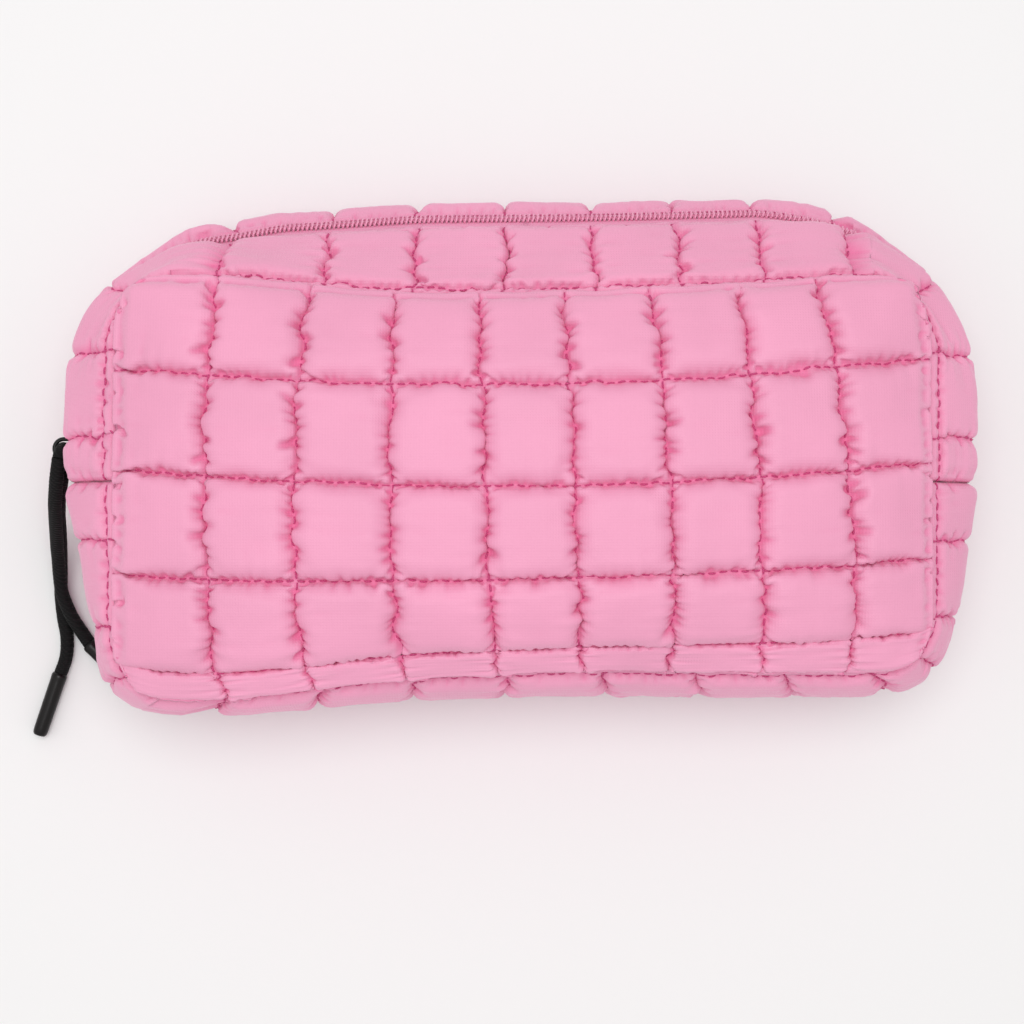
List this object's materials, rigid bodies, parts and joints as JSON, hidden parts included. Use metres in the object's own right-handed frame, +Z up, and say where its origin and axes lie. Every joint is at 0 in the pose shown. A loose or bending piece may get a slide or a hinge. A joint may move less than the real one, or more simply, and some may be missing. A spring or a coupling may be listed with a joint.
{
  "type": "makeup bag",
  "caption": "Soft quilted puffer makeup bag with a zip round its top, a quilted base gusset and a folded pull cord with moulded tips.",
  "frame": {"origin": "on the back panel's resting face, under the middle of the bag without its slider and pull cord; the bag lies on its back panel", "axes": "+Z up, out of the front panel; +Y from the base gusset towards the zip; +X along the length, away from the slider"},
  "size_m": [0.2743, 0.1592, 0.078],
  "materials": {
    "nylon": "soft sheen taffeta",
    "wadding": "matt fibre",
    "lining": "satin",
    "zip_tape": "woven tape",
    "zip_coil": "nylon coil",
    "binding": "woven tape",
    "zip_metal": "semi-gloss paint",
    "cord": "braided",
    "cord_tip": "gloss",
    "thread": "polyester thread"
  },
  "bodies": {
    "bag": {"front_panel_shell": "nylon", "front_panel_wadding": "wadding", "front_panel_lining": "lining", "back_panel_shell": "nylon", "back_panel_wadding": "wadding", "back_panel_lining": "lining", "base_gusset_shell": "nylon", "base_gusset_wadding": "wadding", "base_gusset_lining": "lining", "front_strip_ends_shell": "nylon", "front_strip_ends_wadding": "wadding", "front_strip_ends_lining": "lining", "back_strip_ends_shell": "nylon", "back_strip_ends_wadding": "wadding", "back_strip_ends_lining": "lining", "front_tape_ends": "zip_tape", "back_tape_ends": "zip_tape", "front_coil_ends": "zip_coil", "back_coil_ends": "zip_coil", "front_seam_binding": "binding", "back_seam_binding": "binding", "zip_stop_left": "zip_metal", "zip_stop_right": "zip_metal"},
    "front_flap": {"front_flap_shell": "nylon", "front_flap_wadding": "wadding", "front_flap_lining": "lining", "front_flap_tape": "zip_tape", "front_flap_coil": "zip_coil"},
    "back_flap": {"back_flap_shell": "nylon", "back_flap_wadding": "wadding", "back_flap_lining": "lining", "back_flap_tape": "zip_tape", "back_flap_coil": "zip_coil"},
    "slider": {"slider_body": "zip_metal", "slider_bail": "zip_metal"},
    "pull": {"cord_bight": "cord", "pull_cord_leg_a": "cord", "pull_cord_leg_b": "cord", "cord_tip_a": "cord_tip", "cord_tip_b": "cord_tip"}
  },
  "joints": [
    {"name": "front_flap_open", "type": "hinge", "parent": "bag", "child": "front_flap", "pos_m": [0, 0.04, 0.0551], "axis": [1, 0, 0], "range_deg": [0, 60]},
    {"name": "back_flap_open", "type": "hinge", "parent": "bag", "child": "back_flap", "pos_m": [0, 0.062, 0.0049], "axis": [-1, 0, 0], "range_deg": [0, 50]},
    {"name": "slider_travel", "type": "slide", "parent": "bag", "child": "slider", "axis": [0, 1, 0], "range_m": [0, 0.028]},
    {"name": "pull_swing", "type": "hinge", "parent": "slider", "child": "pull", "pos_m": [-0.13015, -0.002, 0.035], "axis": [0, 0, -1], "range_deg": [0, 140]}
  ]
}
